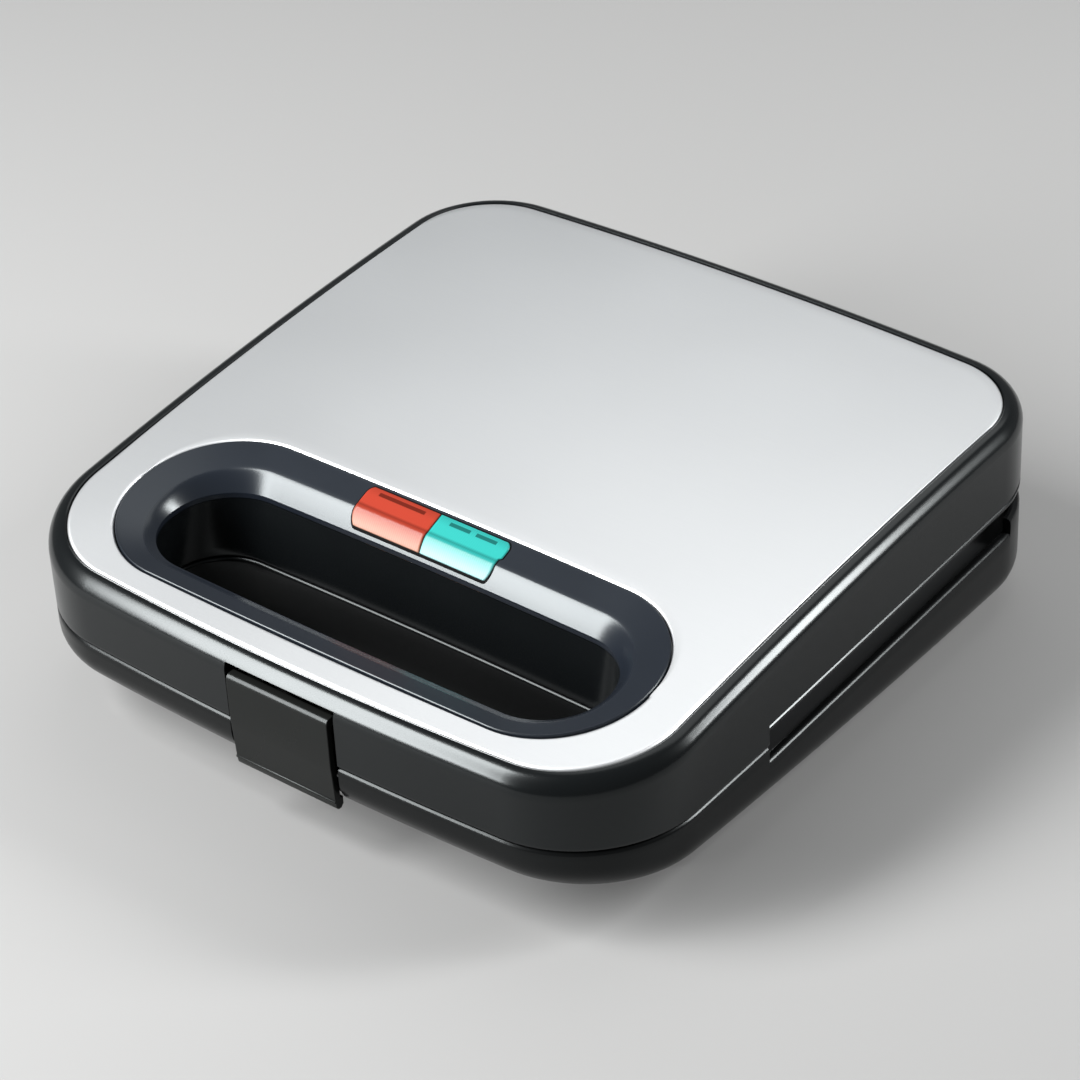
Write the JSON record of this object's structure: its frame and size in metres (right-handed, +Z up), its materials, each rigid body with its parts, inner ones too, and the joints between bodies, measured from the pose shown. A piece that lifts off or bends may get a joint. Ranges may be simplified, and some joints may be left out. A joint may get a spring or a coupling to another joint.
{
  "type": "sandwich maker",
  "caption": "Countertop sandwich maker: crowned steel-topped lid on a rear hinge, through handle, snap latch, indicator lenses and plates with triangular pockets.",
  "frame": {"origin": "middle of the bounding box, on the surface that the feet stand on", "axes": "+X to the right of someone facing the handle, +Y from the handle to the hinge, +Z up"},
  "size_m": [0.2316, 0.2438, 0.0694],
  "materials": {
    "housing_gloss": "gloss black moulding",
    "housing_satin": "satin black moulding",
    "bezel_black": "blue-black, satin on its band and gloss inside",
    "liner_black": "matt black heat-resistant moulding",
    "plate_steel": "fine satin stainless steel",
    "cast_nonstick": "cast aluminium with black non-stick coating",
    "element_steel": "heat-tinted steel tube",
    "reflector_sheet": "bright rolled sheet",
    "thermostat_body": "plated cap on a ceramic base",
    "fuse_sleeve": "woven glass sleeve",
    "terminal_plastic": "off-white moulding",
    "lamp_plastic": "off-white moulding",
    "neon_glass": "clear glass bulbs",
    "red_lens": "clear red moulding with ribs on its back",
    "green_lens": "clear blue-green moulding with ribs on its back",
    "pin_steel": "ground steel pin",
    "screw_steel": "zinc-plated steel",
    "foot_rubber": "black rubber"
  },
  "bodies": {
    "base": {"base_shell": "housing_satin", "base_liner": "liner_black", "lower_cooking_plate": "cast_nonstick", "lower_heating_element": "element_steel", "lower_reflector": "reflector_sheet", "thermostat": "thermostat_body", "thermal_fuse": "fuse_sleeve", "terminal_block": "terminal_plastic", "cord_gland": "foot_rubber", "hinge_pins": "pin_steel", "base_screws": "screw_steel", "foot_front_left": "foot_rubber", "foot_front_right": "foot_rubber", "foot_rear_left": "foot_rubber", "foot_rear_right": "foot_rubber"},
    "lid": {"lid_shell": "housing_gloss", "top_plate": "plate_steel", "handle_bezel": "bezel_black", "red_lens": "red_lens", "green_lens": "green_lens", "lamp_holder": "lamp_plastic", "neon_lamps": "neon_glass", "lid_liner": "liner_black", "upper_cooking_plate": "cast_nonstick", "upper_heating_element": "element_steel", "upper_reflector": "reflector_sheet", "lid_screws": "screw_steel", "latch_pin": "pin_steel"},
    "latch": {"latch": "housing_satin"}
  },
  "joints": [
    {"name": "lid_hinge", "type": "hinge", "parent": "base", "child": "lid", "pos_m": [0, 0.1159, 0.0346], "axis": [-1, 0, 0], "range_deg": [0, 100]},
    {"name": "latch_pivot", "type": "hinge", "parent": "lid", "child": "latch", "pos_m": [0, -0.1147, 0.0436], "axis": [-1, 0, 0], "range_deg": [-3.5, 45]}
  ]
}
